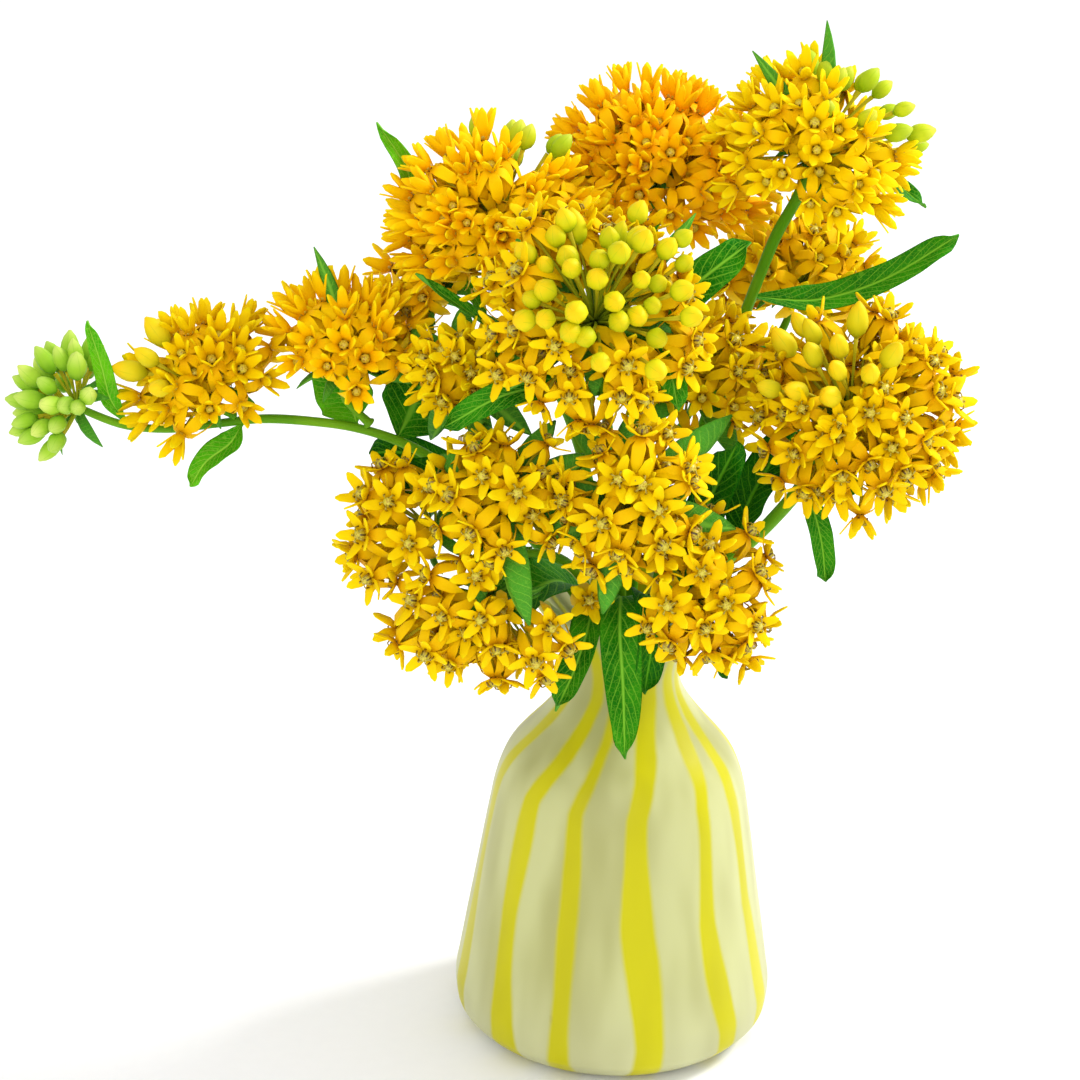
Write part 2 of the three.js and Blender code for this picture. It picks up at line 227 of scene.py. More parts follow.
def levels_from(start, count, edges):
    """How many edges each point is from the start points."""
    level = np.full(count, -1)
    level[start] = 0
    for step in range(count):
        near = edges[level[edges[:, 0]] == step, 1]
        near = near[level[near] < 0]
        if not len(near):
            return level
        level[near] = step + 1
    return level


def loft_rings(node):
    """The rings of a lofted CAD node from end to end, without the middle points that close its ends.

    Six edges or nearly so meet at a ring's point, and a number further from six where an end closes.
    """
    points, edges = merged_mesh(node)
    meeting = np.bincount(edges[:, 0], minlength=len(points))
    level = levels_from(np.abs(meeting - 6).argmax(), len(points), edges)
    return [points[level == i] for i in range(1, level.max())]


def stem_line(node, hubs):
    """Centres and radii along a stem, from its foot to the end that is nearest to an umbel's hub."""
    rings = loft_rings(node)
    centres = np.array([ring.mean(axis=0) for ring in rings])
    radii = np.array([np.linalg.norm(ring - ring.mean(axis=0), axis=1).mean() for ring in rings])
    reach = [np.linalg.norm(hubs - centres[end], axis=1).min() for end in (0, -1)]
    return (centres[::-1], radii[::-1]) if reach[0] < reach[1] else (centres, radii)


def leaf_line(node, stem_points):
    """Along a leaf from its stem to its tip: midrib, sideways and upward unit vectors, and half widths."""
    rings = loft_rings(node)
    middles = np.array([ring.mean(axis=0) for ring in rings])
    gap = [np.linalg.norm(stem_points - middles[end], axis=1).min() for end in (0, -1)]
    if gap[1] < gap[0]:
        rings, middles = rings[::-1], middles[::-1]
    along = unit(np.gradient(middles, axis=0))
    ribs, sides, lifts, halves = [], [], [], []
    for ring, tangent in zip(rings, along):
        apart = np.linalg.norm(ring[:, None] - ring[None], axis=2)
        a, b = np.unravel_index(apart.argmax(), apart.shape)
        rib = ring[[i for i in range(len(ring)) if i not in (a, b)]].mean(axis=0)
        fold = (ring[a] + ring[b]) / 2 - rib
        side = unit(ring[b] - ring[a])
        lift = unit(np.cross(tangent, side))
        if lift @ fold < 0:
            side, lift = -side, -lift
        ribs.append(rib)
        sides.append(side)
        lifts.append(lift)
        halves.append(apart[a, b] / 2)
    return np.array(ribs), np.array(sides), np.array(lifts), np.array(halves)


def dome(node):
    """An umbel's hub, the way it faces, and how far its flowers reach.

    The hub is the one point from which the others are all equally far.
    """
    points, _ = merged_mesh(node)
    apart = np.linalg.norm(points[:, None] - points[None], axis=2)
    np.fill_diagonal(apart, np.nan)
    hub = np.argmin(np.nanstd(apart, axis=1))
    others = np.delete(points, hub, axis=0) - points[hub]
    return points[hub], unit(others.mean(axis=0)), np.linalg.norm(others, axis=1).mean()


def vase_profile():
    """Radius and height of the CAD vase's rings: up its outside, then down its inside.

    A ring is outside if no edge of the mesh reaches further from the axis at its height, and inside if none
    is nearer. Rings closer than a millimetre to the one before are left out.
    """
    rings, edges = [], []
    for node in VASE_NODES:
        points, pairs = merged_mesh(node)
        flat = np.stack([np.linalg.norm(points[:, :2], axis=1), points[:, 2]], axis=1)
        rings.append(flat[flat[:, 0] > MM])
        edges.append(flat[pairs])
    rings = np.unique(np.round(np.concatenate(rings), 6), axis=0)
    a, b = np.concatenate(edges).transpose(1, 0, 2)
    height = rings[:, 1:]
    low, high = np.minimum(a[:, 1], b[:, 1]), np.maximum(a[:, 1], b[:, 1])
    crossed = (height >= low - 1e-6) & (height <= high + 1e-6)
    rise = np.where(abs(b[:, 1] - a[:, 1]) > 1e-7, b[:, 1] - a[:, 1], 1e9)
    radius = a[:, 0] + np.clip((height - a[:, 1]) / rise, 0, 1) * (b[:, 0] - a[:, 0])
    outside = rings[:, 0] > np.where(crossed, radius, 0).max(axis=1) - 0.02 * MM
    inside = (rings[:, 0] < np.where(crossed, radius, 1).min(axis=1) + 0.02 * MM) & ~outside
    inside &= rings[:, 1] > rings[outside, 1].min() + VASE_FLOOR
    up, down = (side[np.argsort(side[:, 1])] for side in (rings[outside], rings[inside]))
    up, down = (
        side[np.append(True, np.linalg.norm(np.diff(side, axis=0), axis=1) > MM)] for side in (up, down)
    )
    return up, down[::-1]


# ---------------------------------------------------------------- materials


def srgb(red, green, blue):
    """A linear colour from the usual 0 to 255 numbers."""
    shares = np.array([red, green, blue]) / 255
    linear = np.where(shares <= 0.04045, shares / 12.92, ((shares + 0.055) / 1.055) ** 2.4)
    return (*linear.tolist(), 1.0)


class Shader:
    """A node material under construction: short ways to add nodes and join them."""

    def __init__(self, name):
        self.material = bpy.data.materials.new(name)
        self.material.use_nodes = True
        self.tree = self.material.node_tree
        self.surface = next(n for n in self.tree.nodes if n.type == "BSDF_PRINCIPLED")

    def put(self, socket, value):
        """Joins an output to a socket, or sets the socket to a plain value."""
        if isinstance(value, bpy.types.NodeSocket):
            self.tree.links.new(value, socket)
        elif value is not None:
            socket.default_value = value

    def node(self, kind, values=(), **options):
        made = self.tree.nodes.new("ShaderNode" + kind)
        for option, choice in options.items():
            setattr(made, option, choice)
        for socket, value in dict(values).items():
            self.put(made.inputs[socket], value)
        return made

    def math(self, operation, a, b=None, c=None):
        return self.node("Math", {0: a, 1: b, 2: c}, operation=operation).outputs[0]

    def blend(self, share, a, b):
        """Colour a where share is 0, colour b where it is 1."""
        made = self.node("Mix", {0: share, 6: a, 7: b}, data_type="RGBA")
        return made.outputs[2]

    def step(self, value, low, high):
        """0 below low, 1 above high, and smooth between them."""
        values = {"Value": value, "From Min": low, "From Max": high}
        return self.node("MapRange", values, interpolation_type="SMOOTHSTEP").outputs[0]

    def noise(self, vector, scale, detail=2.0, roughness=0.5):
        values = {"Vector": vector, "Scale": scale, "Detail": detail, "Roughness": roughness}
        return self.node("TexNoise", values).outputs["Fac"]

    def coordinates(self):
        return self.node("TexCoord").outputs["Object"]

    def uv(self):
        """Across and along the surface, as two numbers."""
        parts = self.node("SeparateXYZ", {0: self.node("UVMap", uv_map="UVMap").outputs[0]})
        return parts.outputs[0], parts.outputs[1]

    def attribute(self, name):
        return self.node("Attribute", attribute_name=name).outputs["Fac"]

    def join(self, x, y, z=0.0):
        return self.node("CombineXYZ", {0: x, 1: y, 2: z}).outputs[0]

    def bump(self, height, distance, strength=1.0):
        made = self.node("Bump", {"Height": height, "Distance": distance, "Strength": strength})
        self.put(self.surface.inputs["Normal"], made.outputs[0])

    def finish(self, **values):
        """Sets the surface's own sockets, named with underscores for spaces."""
        for socket, value in values.items():
            self.put(self.surface.inputs[socket.replace("_", " ")], value)
        return self.material


def petal_material(name, base, middle, tip):
    """Waxy petal: colour runs from base to tip along V with fine streaks, deeper in some flowers."""
    shader = Shader(name)
    across, along = shader.uv()
    tone = shader.attribute("tone")
    streaks = shader.noise(shader.join(shader.math("MULTIPLY", across, 16.0), along, tone), 2.2, 3.0)
    low = shader.blend(shader.step(along, 0.0, 0.45), base, middle)
    colour = shader.blend(shader.step(along, 0.45, 1.0), low, tip)
    colour = shader.blend(shader.math("MULTIPLY", shader.step(streaks, 0.45, 0.75), 0.22), colour, base)
    depth = shader.step(tone, 0.35, 1.0)
    colour = shader.blend(shader.math("MULTIPLY", depth, 0.3), colour, base)
    shader.bump(streaks, 0.12 * MM, 0.5)
    return shader.finish(Base_Color=colour, Roughness=0.6, Specular_IOR_Level=0.05)


def centre_material():
    """The column: green-yellow, browner towards its foot, with a dark clip between each two hoods."""
    shader = Shader("flower_column")
    around, along = shader.uv()
    grain = shader.noise(shader.coordinates(), 2500.0)
    colour = shader.blend(shader.step(along, 0.1, 0.8), srgb(150, 96, 6), srgb(206, 192, 50))
    colour = shader.blend(shader.step(grain, 0.45, 0.7), colour, srgb(170, 130, 16))
    clip = shader.math("ABSOLUTE", shader.math("COSINE", shader.math("MULTIPLY", around, 5 * math.pi)))
    clip = shader.math("MULTIPLY", shader.step(clip, 0.62, 0.4), shader.step(along, 0.98, 0.9))
    colour = shader.blend(shader.math("MULTIPLY", clip, 0.9), colour, srgb(58, 32, 4))
    return shader.finish(Base_Color=colour, Roughness=0.4)


def stalk_material(name, foot, top):
    """Thin stalk: from one green to another along V, with fine down."""
    shader = Shader(name)
    _, along = shader.uv()
    grain = shader.noise(shader.coordinates(), 1500.0)
    colour = shader.blend(along, foot, top)
    colour = shader.blend(shader.math("MULTIPLY", grain, 0.4), colour, srgb(120, 168, 30))
    shader.bump(grain, 0.1 * MM, 0.4)
    return shader.finish(Base_Color=colour, Roughness=0.5, Specular_IOR_Level=0.1)


def bud_material(name, foot, body, tip):
    """Bud: green at the stalk, coloured over the body, with five paler seams and a satin skin."""
    shader = Shader(name)
    around, along = shader.uv()
    tone = shader.attribute("tone")
    grain = shader.noise(shader.coordinates(), 700.0, 3.0)
    seam = shader.math("ABSOLUTE", shader.math("SINE", shader.math("MULTIPLY", around, 5 * math.pi)))
    seam = shader.math("MULTIPLY", shader.step(seam, 0.25, 0.0), shader.step(along, 0.25, 0.8))
    colour = shader.blend(shader.step(along, 0.02, 0.5), foot, body)
    colour = shader.blend(shader.step(along, 0.55, 1.0), colour, tip)
    colour = shader.blend(shader.math("MULTIPLY", shader.step(tone, 0.3, 1.0), 0.5), colour, foot)
    colour = shader.blend(shader.math("MULTIPLY", grain, 0.25), colour, body)
    colour = shader.blend(shader.math("MULTIPLY", seam, 0.4), colour, foot)
    shader.bump(grain, 0.1 * MM, 0.3)
    return shader.finish(Base_Color=colour, Roughness=0.55, Specular_IOR_Level=0.12)


def leaf_material(name, deep, bright, vein, under):
    """Leaf: pale midrib, side veins that run forward to the edge, a fine net between them, a paler underside.

    U is 0 and 1 at the edges and 0.5 on the midrib, and V runs from the stem to the tip.
    """
    shader = Shader(name)
    across, along = shader.uv()
    place = shader.coordinates()
    below = shader.attribute("tone")
    out = shader.math("ABSOLUTE", shader.math("MULTIPLY_ADD", across, 2.0, -1.0))
    wander = shader.math("MULTIPLY", shader.noise(place, 160.0), 0.9)
    side = shader.math("MULTIPLY", shader.math("GREATER_THAN", across, 0.5), 0.45)
    run = shader.math("MULTIPLY_ADD", along, 13.0, shader.math("MULTIPLY", out, -2.6))
    phase = shader.math("FRACT", shader.math("ADD", shader.math("ADD", run, wander), side))
    line = shader.math("ABSOLUTE", shader.math("SUBTRACT", phase, 0.5))
    side_vein = shader.math("MULTIPLY", shader.step(line, 0.12, 0.03), shader.step(out, 1.0, 0.7))
    rib = shader.step(out, 0.13, 0.03)
    cells = shader.node("TexVoronoi", {"Vector": place, "Scale": 900.0}, feature="DISTANCE_TO_EDGE")
    net = shader.math("MULTIPLY", shader.step(cells.outputs[0], 0.09, 0.0), 0.4)
    veins = shader.math("MAXIMUM", rib, shader.math("MULTIPLY", side_vein, 0.7))
    veins = shader.math("MAXIMUM", veins, net)
    patch = shader.noise(place, 90.0, 3.0)
    colour = shader.blend(shader.step(patch, 0.35, 0.7), deep, bright)
    colour = shader.blend(shader.math("MULTIPLY", shader.step(out, 0.8, 1.0), 0.6), colour, bright)
    colour = shader.blend(shader.math("MULTIPLY", veins, 0.9), colour, vein)
    colour = shader.blend(shader.math("MULTIPLY", below, 0.8), colour, under)
    shader.bump(shader.math("SUBTRACT", shader.math("MULTIPLY", patch, 0.3), veins), 0.22 * MM, 0.8)
    return shader.finish(Base_Color=colour, Roughness=0.5, Specular_IOR_Level=0.07)


def stem_material():
    """Stem: yellow-green in patches, with long streaks and short down that roughens it."""
    shader = Shader("stem_skin")
    around, along = shader.uv()
    place = shader.coordinates()
    streaks = shader.noise(shader.join(shader.math("MULTIPLY", around, 9.0), along), 3.0, 3.0)
    patch = shader.noise(place, 45.0, 3.0)
    colour = shader.blend(shader.step(patch, 0.35, 0.7), srgb(70, 140, 6), srgb(116, 172, 24))
    colour = shader.blend(shader.math("MULTIPLY", streaks, 0.35), colour, srgb(110, 156, 30))
    down = shader.noise(place, 2200.0)
    shader.bump(down, 0.12 * MM, 0.6)
    return shader.finish(Base_Color=colour, Roughness=0.48, Specular_IOR_Level=0.1)


def vase_material():
    """Milky opal glass with lemon stripes, paler vertical bands of painted reflection in the milk, and a few
    specks of dirt.

    The tone attribute is the distance in millimetres inside a stripe's edge.
    """
    shader = Shader("striped_opal_glass")
    place = shader.coordinates()
    parts = shader.node("SeparateXYZ", {0: place})
    stretched = shader.node("Mapping", {"Vector": place, "Scale": (1.0, 1.0, 0.22)}).outputs[0]
    wobble = shader.math("MULTIPLY_ADD", shader.noise(stretched, 110.0, 3.0), 1.8, -0.9)
    inside = shader.math("ADD", shader.attribute("tone"), wobble)
    stripe = shader.step(inside, -0.9, 0.7)
    # paler and darker vertical bands in the milk: painted reflection, stretched up the vase
    reflection_bands = shader.step(shader.noise(stretched, 60.0, 2.0), 0.35, 0.65)
    milk = shader.blend(reflection_bands, srgb(164, 164, 106), srgb(188, 190, 134))
    foot = shader.step(parts.outputs[2], 0.035, 0.0)
    milk = shader.blend(shader.math("MULTIPLY", foot, 0.4), milk, srgb(190, 190, 160))
    cloud = shader.step(shader.noise(stretched, 70.0), 0.3, 0.7)
    lemon = shader.blend(cloud, srgb(178, 172, 0), srgb(192, 186, 0))
    colour = shader.blend(stripe, milk, lemon)
    specks = shader.node("TexVoronoi", {"Vector": stretched, "Scale": 75.0, "Randomness": 1.0})
    rare = shader.step(shader.node("SeparateXYZ", {0: specks.outputs["Color"]}).outputs[0], 0.90, 0.93)
    ragged = shader.math("MULTIPLY_ADD", shader.noise(place, 900.0), 0.06, specks.outputs["Distance"])
    dirt = shader.math("MULTIPLY", rare, shader.step(ragged, 0.085, 0.05))
    colour = shader.blend(shader.math("MULTIPLY", dirt, 0.55), colour, srgb(120, 98, 50))
    ripple = shader.noise(stretched, 35.0, 2.0)
    shader.bump(ripple, 0.5 * MM, 0.25)
    shader.finish(Subsurface_Weight=0.3, Subsurface_Radius=(1.0, 1.0, 0.7), Subsurface_Scale=1.6 * MM)
    rough = shader.math("MULTIPLY_ADD", shader.noise(place, 40.0, 3.0), 0.12, 0.34)
    return shader.finish(Base_Color=colour, Roughness=rough, Specular_IOR_Level=0.2)


# ---------------------------------------------------------------- vase

VASE_NODES = ("vase_foot", "vase_body", "vase_neck")
VASE_SIDES = 176
VASE_FLOOR = 7.1 * MM  # just above the inside floor
# each stripe's bearing in degrees from the front at the foot, the waist and the neck, and half width in mm
VASE_STRIPES = (
    (-75, -77, -66, 3.2), (-43, -46, -27, 3.8), (-17, -20, -4, 3.1),
    (14, 10, 23, 4.5), (48, 42, 54, 3.3), (74, 66, 73, 3.2),
    (104, 97, 108, 3.0), (134, 128, 140, 2.4), (163, 156, 168, 3.6),
    (194, 188, 200, 2.5), (226, 219, 232, 3.2), (256, 250, 264, 2.4),
)


def stripe_depth(points, height):
    """Millimetres inside the nearest stripe's edge: its half width less the arc from its middle line."""
    bearing = np.degrees(np.arctan2(points[:, 0], -points[:, 1]))
    radius = np.linalg.norm(points[:, :2], axis=1) / MM
    rise = points[:, 2] / height
    depth = np.full(len(points), -50.0)
    for number, (foot, waist, neck, half) in enumerate(VASE_STRIPES):
        middle = np.interp(rise, (0.1, 0.35, 0.6, 0.8), (foot, waist, waist, neck))
        middle = middle + 1.2 * np.sin(9 * rise + 2.1 * number)
        away = np.radians(np.abs((bearing - middle + 180) % 360 - 180)) * radius
        width = half * np.interp(rise, (0, 0.3, 0.65, 0.85), (1.0, 0.82, 0.62, 0.5))
        width = width * (1 + 0.16 * np.sin(12 * rise + 1.3 * number))
        depth = np.maximum(depth, width - away)
    return depth


def make_vase():
    """The CAD profile made smooth and turned about the axis: x = r sin a, y = -r cos a."""
    up, down = vase_profile()
    floor = down[-1] - [2 * MM, 0.2 * MM]
    profile = np.concatenate([
        [[0.3 * up[0, 0], up[0, 1]], [0.8 * up[0, 0], up[0, 1]]],
        through(up, 4 * len(up)),
        through(down, 2 * len(down)),
        [floor, floor * [0.5, 1], floor * [0.1, 1]],
    ])
    turn = np.linspace(0, 2 * math.pi, VASE_SIDES, endpoint=False)
    radius, height = profile[:, :1], profile[:, 1:]
    height = np.repeat(height, VASE_SIDES, axis=1)
    surface = skin(np.stack([radius * np.sin(turn), -radius * np.cos(turn), height], axis=-1)[None])
    surface.tone = stripe_depth(surface.points, height.max())
    to_object("striped_vase", surface, [vase_material()], VASE_NODES)


# ---------------------------------------------------------------- stems

STEM_SIDES = 16
SLIMMER = 0.84  # share of the CAD stem's radius, which is a little full for its length


def make_stems(hubs):
    """Draws every stem and shoot as a fine tube from its foot to its hub, and returns points along them."""
    material = stem_material()
    rng = np.random.default_rng(11)
    lines = {}
    for node in sorted(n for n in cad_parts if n.startswith(("stem_", "shoot_"))):
        lines[node] = stem_line(node, hubs)
    for node, (centres, radii) in lines.items():
        hub = hubs[np.linalg.norm(hubs - centres[-1], axis=1).argmin()]
        if node.startswith("shoot_"):
            start = centres[0] - unit(centres[1] - centres[0]) * 1.6 * MM
            centres, radii = np.concatenate([[start], centres]), np.concatenate([radii[:1], radii])
        centres = np.concatenate([centres, [hub]])
        radii = np.concatenate([radii, [radii[-1] * 1.15]])
        count = 6 * len(centres)
        fine, thick = through(centres, count), through(radii, count)
        along = np.linspace(0, 1, count)
        if node.startswith("shoot_"):
            thick = thick * (1 + 0.5 * np.exp(-((along * count / 4) ** 2)))
        thick = SLIMMER * thick * (1 + 0.04 * np.sin(along * 40 + rng.uniform(0, 6)))
        lines[node] = (centres, radii)
        surface = skin(tube_rings(fine[None], thick[None], STEM_SIDES), v=along * count / 10)
        to_object("green_" + node, surface, [material], [node])
    return np.concatenate([through(centres, 60) for centres, _ in lines.values()])


# ---------------------------------------------------------------- leaves

LEAF_STATIONS = 34
LEAF_THICKNESS = 0.32 * MM
BRIGHT = ("leaf_tip_upright", "leaf_left_hanging", "leaf_fork_bright", "leaf_upper_left_pointed")
DARK = (
    "leaf_fork_dark", "leaf_mouth_dark", "leaf_right_upright",
    "leaf_right_behind", "leaf_low_left_dark", "leaf_low_right_curled",
)
POINTED = BRIGHT + ("leaf_mouth_hanging_long",)
# how much wider than its CAD blade a leaf is drawn, where that isn't 1.14
WIDER = {
    "leaf_fork_bright": 1.4, "leaf_fork_broad": 1.35, "leaf_fork_dark": 1.4,
    "leaf_low_left_dark": 1.3, "leaf_right_long": 1.3,
}
# share of the half width from edge to edge over the top, then back underneath
LEAF_TOP = np.array([1, 0.86, 0.66, 0.45, 0.26, 0.12, 0.04, -0.04, -0.12, -0.26, -0.45, -0.66, -0.86, -1])
LEAF_BELOW = np.array([-0.8, -0.5, -0.2, -0.06, 0.06, 0.2, 0.5, 0.8])


def blade(ribs, sides, lifts, halves, rng):
    """Leaf surface: a shallow trough about the midrib, a rib that stands out below, and edges that wave.

    A point is rib + a w side + (fold w |a|^1.4 - groove + wave |a|^3 - thickness below) lift, with a from
    -1 to 1 and w the half width.
    """
    across = np.concatenate([LEAF_TOP, LEAF_BELOW])
    below = np.concatenate([np.zeros(len(LEAF_TOP)), np.ones(len(LEAF_BELOW))])
    along = np.linspace(0, 1, len(ribs))[:, None]
    half = halves[:, None]
    out = np.abs(across)
    fullness = np.sqrt(half / halves.max())
    fold = 0.34 * half * out**1.4
    groove = 0.22 * MM * np.exp(-((out / 0.09) ** 2)) * (1 - below) * fullness
    keel = 0.35 * MM * np.exp(-((out / 0.16) ** 2)) * below * fullness
    turn = rng.uniform(0, 2 * math.pi, 2)
    ripple = np.where(across > 0, np.sin(along * 19 + turn[0]), np.sin(along * 17 + turn[1]))
    quilt = 0.1 * MM * np.sin(along * 60 - 6 * out) * np.sin(math.pi * out) * (1 - below)
    ripple = 0.09 * half * ripple * out**3
    rise = fold - groove - keel - LEAF_THICKNESS * below + ripple + quilt * fullness
    rings = ribs[:, None] + (across * half)[..., None] * sides[:, None]
    rings = rings + rise[..., None] * lifts[:, None]
    u = np.append((across + 1) / 2, (across[0] + 1) / 2)
    surface = skin(rings[None], u=u, v=np.linspace(0, 1, len(ribs)))
    surface.tone = np.concatenate([np.tile(below, len(ribs)), [0.5, 0.5]])
    return surface


def leaf_widths(halves, widest, tip):
    """Half widths along a leaf, which swells over its first third. A low tip narrows it early to a point.

    At the share s of the length the outline is r^2 (3 - 2r) (1 - s^tip)^0.5 (0.88 + 0.12 sin pi s), with r
    the lesser of s/0.34 and 1. A stalk up to 0.8 mm to a side carries the leaf at its foot.
    """
    share = np.linspace(0, 1, LEAF_STATIONS)
    ramp = np.clip(share / 0.34, 0, 1)
    outline = ramp**2 * (3 - 2 * ramp) * (1 - share**tip) ** 0.5 * (0.88 + 0.12 * np.sin(math.pi * share))
    stalk = np.minimum(halves, 0.8 * MM) * (1 - share**12)
    return np.maximum(np.maximum(widest * outline, stalk), 0.2 * MM)


def make_leaves(stem_points):
    """Draws every CAD leaf as a fine blade whose foot reaches into its stem, and returns the materials."""
    greens = {  # in the shade, in the light, veins, underside
        "dark": ((6, 76, 0), (24, 108, 2), (92, 164, 30), (70, 144, 34)),
        "mid": ((18, 104, 0), (48, 138, 4), (126, 192, 50), (104, 176, 60)),
        "bright": ((60, 164, 4), (104, 194, 16), (160, 220, 70), (150, 212, 84)),
    }
    kinds = {kind: leaf_material("leaf_" + kind, *(srgb(*g) for g in greens[kind])) for kind in greens}
    rng = np.random.default_rng(5)
    for node in sorted(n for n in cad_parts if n.startswith("leaf_")):
        ribs, sides, lifts, halves = leaf_line(node, stem_points)
        foot = ribs[0] - unit(ribs[1] - ribs[0]) * 1.2 * MM
        ribs = np.concatenate([[foot], ribs])
        sides, lifts = (np.concatenate([a[:1], a]) for a in (sides, lifts))
        halves = np.concatenate([halves[:1], halves])
        fine = [through(a, LEAF_STATIONS) for a in (ribs, sides, lifts, halves)]
        width = leaf_widths(fine[3], WIDER.get(node, 1.14) * halves.max(), 4 if node in POINTED else 11)
        surface = blade(fine[0], unit(fine[1]), unit(fine[2]), width, rng)
        kind = "bright" if node in BRIGHT else "dark" if node in DARK else "mid"
        to_object("green_" + node, surface, [kinds[kind]], [node])
    return kinds


# ---------------------------------------------------------------- one flower

HOODS = 5
HOOD, COROLLA, COLUMN, STALK, BUD, BRACT = range(6)
# an arm's cross-section: share of its half width, and above (1), on (0) or below (-1) its sheet
ARM_SECTION = np.array([[1, 0], [0.84, 1], [-0.84, 1], [-1, 0], [-0.84, -1], [0.84, -1]])
HORN_SECTION = np.array([[1, -0.6], [0, 1], [-1, -0.6]])


def arms(line, halves, thickness, curl, turn, part, section=ARM_SECTION):
    """Arms about the flower's axis. Each follows a line of radius and height, and its edges curl up.

    A point is line + a w t + (curl w a^2 + side thickness/2) n, with w the half width, t round the axis and
    n square to the line.
    """
    slope = unit(np.gradient(line, axis=0))
    normal = np.stack([-slope[:, 1], slope[:, 0]], axis=1)
    across, side = section.T
    rise = curl * halves[:, None] * across**2 + side * thickness / 2
    flat = line[:, None] + rise[..., None] * normal[:, None]
    sideways = halves[:, None] * across
    angle = turn + np.arange(HOODS) * 2 * math.pi / HOODS
    c, s = np.cos(angle)[:, None, None], np.sin(angle)[:, None, None]
    height = np.broadcast_to(flat[..., 1], (HOODS, *sideways.shape))
    rings = np.stack([flat[..., 0] * c - sideways * s, flat[..., 0] * s + sideways * c, height], axis=-1)
    u = np.append((across + 1) / 2, 1.0)
    return skin(rings, part, u=u, v=np.linspace(0, 1, len(line)))


def turned(profile, sides, part):
    """A closed body turned about the flower's axis from (radius, height) pairs, bottom to top."""
    turn = np.linspace(0, 2 * math.pi, sides, endpoint=False)
    radius, height = np.asarray(profile).T
    radius, height = radius[:, None], np.repeat(height[:, None], sides, 1)
    return skin(np.stack([radius * np.cos(turn), radius * np.sin(turn), height], axis=-1)[None], part)


def flower(openness, rng):
    """One flower, with its stalk's end at the origin and its face up: hoods, horns, petals and column.

    Openness 0 holds the hoods upright like a crown, and 1 spreads them into a star. The petals hang behind.
    The numbers are millimetres, in pairs of radius and height. Only a flower more than half open shows horns.
    """
    lean = openness + rng.uniform(-0.06, 0.06)
    knee = np.array([2.3, 3.8]) * (1 - lean) + np.array([4.0, 1.0]) * lean
    tip = np.array([2.9, 8.0]) * (1 - lean) + np.array([6.1, 3.6]) * lean
    hood_line = bezier(([0.9, 0.7], knee, tip), np.array([0, 0.4, 0.85, 1]))
    hood_half = np.array([0.9, 1.4, 1.0, 0.22])
    petal_tip = np.array([4.4 + rng.uniform(-0.9, 0.9), -6.9 + rng.uniform(-0.8, 0.8)])
    petal_line = bezier(([0.7, 0.4], [3.6, -0.4], petal_tip), np.array([0, 0.4, 0.78, 1]))
    petal_half = np.array([0.8, 1.6, 1.4, 0.25])
    offset = math.pi / HOODS
    pieces = [
        arms(hood_line, hood_half, 0.4, 0.35, 0, HOOD),
        arms(petal_line, petal_half, 0.2, 0.12, offset, COROLLA),
        turned([(0.7, 0.1), (1.3, 1.2), (0.95, 2.8)], 10, COLUMN),
    ]
    if openness > 0.5:
        horn_line = bezier(([1.6 + 0.6 * lean, 1.3], [2.2, 3.2], [0.9, 3.0]), np.linspace(0, 1, 3))
        pieces.append(arms(horn_line, np.array([0.3, 0.26, 0.1]), 0.4, 0, 0, COLUMN, HORN_SECTION))
    whole = joined(pieces)
    whole.points = whole.points * MM
    return whole


def bud(length, radius):
    """A closed bud: radius r sin(pi s^0.85)^0.62 (1 + 0.035 cos 5a) at the share s of its length."""
    share = np.linspace(0.02, 0.985, 7)
    turn = np.linspace(0, 2 * math.pi, 10, endpoint=False)
    wide = radius * np.sin(math.pi * share**0.85) ** 0.62
    ribbed = wide[:, None] * (1 + 0.035 * np.cos(HOODS * turn))
    height = np.repeat(share[:, None] * length, len(turn), 1)
    return skin(np.stack([ribbed * np.cos(turn), ribbed * np.sin(turn), height], axis=-1)[None], BUD)


# ---------------------------------------------------------------- umbels

